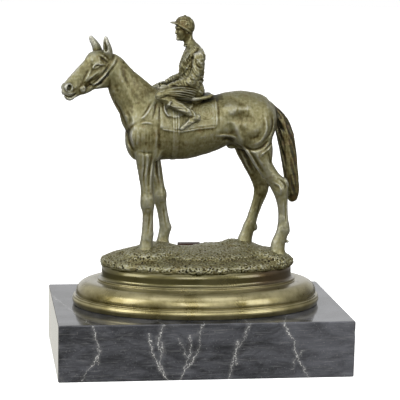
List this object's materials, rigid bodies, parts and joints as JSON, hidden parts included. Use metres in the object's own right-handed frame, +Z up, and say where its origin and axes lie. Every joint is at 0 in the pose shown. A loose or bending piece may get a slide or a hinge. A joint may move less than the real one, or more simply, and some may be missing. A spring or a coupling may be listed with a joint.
{
  "type": "equestrian statuette",
  "caption": "Bronze statuette of a standing racehorse ridden by a jockey, on pebbled ground, a moulded oval plinth and a veined marble block.",
  "frame": {"origin": "middle of the marble's underside", "axes": "+X from the horse's head to its tail, +Y to the horse's right, +Z up"},
  "size_m": [0.155, 0.095, 0.1854],
  "materials": {
    "marble_base": "polished black marble with white veins",
    "bronze_oval_plinth": "smooth waxed brown bronze patina",
    "bronze_horse_and_jockey": "olive brown bronze patina, rubbed on the high places"
  },
  "bodies": {
    "root": {"marble_base": "marble_base", "bronze_oval_plinth": "bronze_oval_plinth", "bronze_horse_and_jockey": "bronze_horse_and_jockey"}
  },
  "joints": []
}
